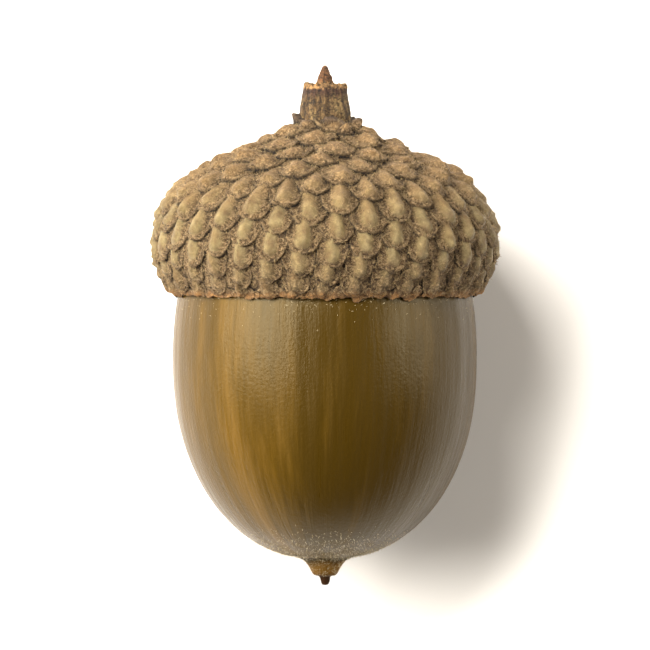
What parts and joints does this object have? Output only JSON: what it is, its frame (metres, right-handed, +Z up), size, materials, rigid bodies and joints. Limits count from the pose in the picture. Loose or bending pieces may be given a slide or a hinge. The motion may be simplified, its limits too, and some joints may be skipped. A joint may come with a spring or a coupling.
{
  "type": "acorn",
  "caption": "Acorn lying on its side: smooth glossy nut with a small nipple, seated in a scaly woody cup with a stub of stalk.",
  "frame": {"origin": "on the surface it lies on, under the middle of its outline as seen from above", "axes": "+Z up from the surface it lies on; +Y along its length, from the nut's tip towards the stalk"},
  "size_m": [0.0232, 0.034, 0.0227],
  "materials": {
    "nut": "glossy olive-brown nut skin with fine lengthwise streaks",
    "cup": "matt felted tan and grey-brown scales with olive keels",
    "stalk": "matt fibrous brown twig with a rusty torn top"
  },
  "bodies": {
    "root": {"nut": "nut", "cup": "cup", "stalk": "stalk"}
  },
  "joints": []
}
